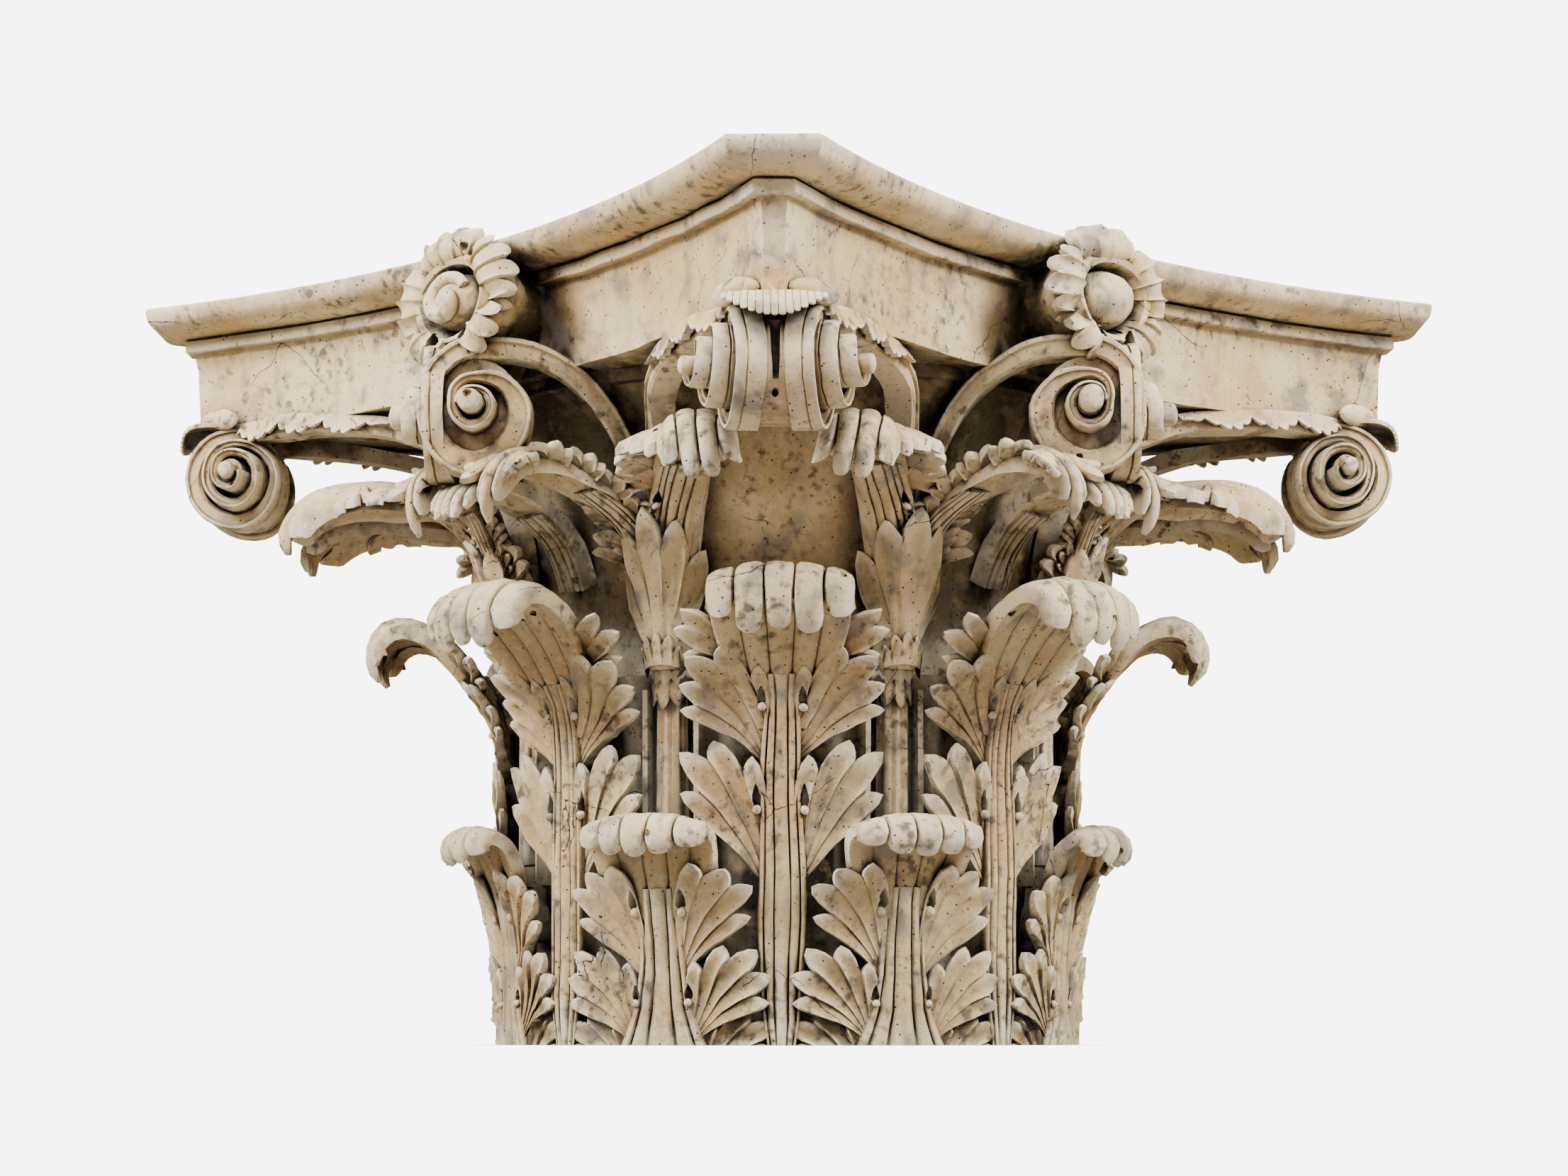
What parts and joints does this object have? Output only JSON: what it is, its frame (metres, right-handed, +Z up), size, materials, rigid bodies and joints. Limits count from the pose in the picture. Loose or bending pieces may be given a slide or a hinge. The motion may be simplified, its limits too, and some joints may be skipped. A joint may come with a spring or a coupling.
{
  "type": "corinthian capital",
  "caption": "Full Corinthian capital with acanthus leaves, linked inner helices and corner volutes under a hollow-sided abacus, split by a level joint.",
  "frame": {"origin": "centre of the flat underside, which rests on the column", "axes": "+Z up along the column's axis; the hollow faces look along +X, -X, +Y and -Y, the corners lie between them"},
  "size_m": [0.9822, 0.9822, 0.75],
  "materials": {
    "aged_plaster_lower": "warm cream cast plaster, pinholed, with tan stains and grey-brown dirt in the hollows",
    "aged_plaster_upper": "warm cream cast plaster, pinholed and hairline cracked, with grey patina on the worn edges"
  },
  "bodies": {
    "root": {"lower_block": "aged_plaster_lower", "upper_block": "aged_plaster_upper"}
  },
  "joints": []
}
